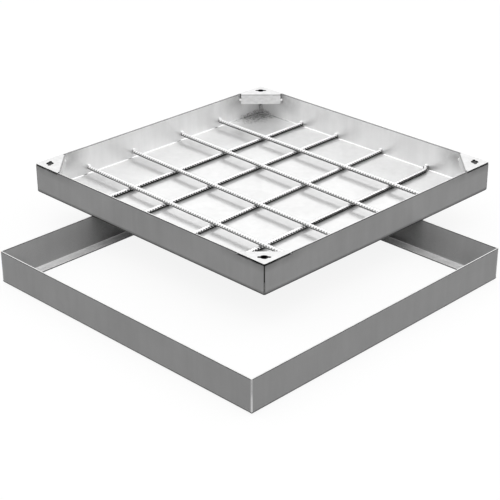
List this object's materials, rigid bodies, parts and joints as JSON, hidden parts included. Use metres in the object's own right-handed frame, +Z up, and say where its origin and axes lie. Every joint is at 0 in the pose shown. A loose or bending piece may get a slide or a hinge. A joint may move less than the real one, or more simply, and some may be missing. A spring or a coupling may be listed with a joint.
{
  "type": "recessed access cover and frame",
  "caption": "Square recessed inspection cover: a folded sheet steel tray with ribbed reinforcement bars and keyhole lifting corners, set down off centre on its angle frame.",
  "frame": {"origin": "the middle of the frame's square, in the plane of the underside of its flanges, which stand on the ground", "axes": "+Z up out of the opening, +X to the right and +Y to the back along the frame's sides; the corner at +X, -Y is nearest in the picture"},
  "size_m": [0.6028, 0.631, 0.094],
  "materials": {
    "galvanised_tray_sheet": "smooth bright galvanised sheet, semi-gloss",
    "galvanised_frame_sheet": "galvanised sheet, satin",
    "ribbed_bar_steel": "bright ribbed bar, satin",
    "dressed_weld": "weld ground flush, brushed",
    "weld_metal": "small weld beads, bright"
  },
  "bodies": {
    "root": {"frame_corner_weld_back_left": "dressed_weld", "frame_corner_weld_back_right": "dressed_weld", "frame_corner_weld_front_left": "dressed_weld", "frame_corner_weld_front_right": "dressed_weld", "frame_rail_back": "galvanised_frame_sheet", "frame_rail_front": "galvanised_frame_sheet", "frame_rail_left": "galvanised_frame_sheet", "frame_rail_right": "galvanised_frame_sheet", "lifting_corner_back_left": "galvanised_tray_sheet", "lifting_corner_back_right": "galvanised_tray_sheet", "lifting_corner_front_left": "galvanised_tray_sheet", "lifting_corner_front_right": "galvanised_tray_sheet", "lifting_corner_welds": "weld_metal", "lower_bar_1": "ribbed_bar_steel", "lower_bar_2": "ribbed_bar_steel", "lower_bar_3": "ribbed_bar_steel", "lower_bar_4": "ribbed_bar_steel", "lower_bar_4_bent_end": "ribbed_bar_steel", "lower_bar_welds": "weld_metal", "tray_pan": "galvanised_tray_sheet", "tray_seam_welds": "weld_metal", "upper_bar_1": "ribbed_bar_steel", "upper_bar_2": "ribbed_bar_steel", "upper_bar_3": "ribbed_bar_steel", "upper_bar_4": "ribbed_bar_steel", "upper_bar_welds": "weld_metal"}
  },
  "joints": []
}
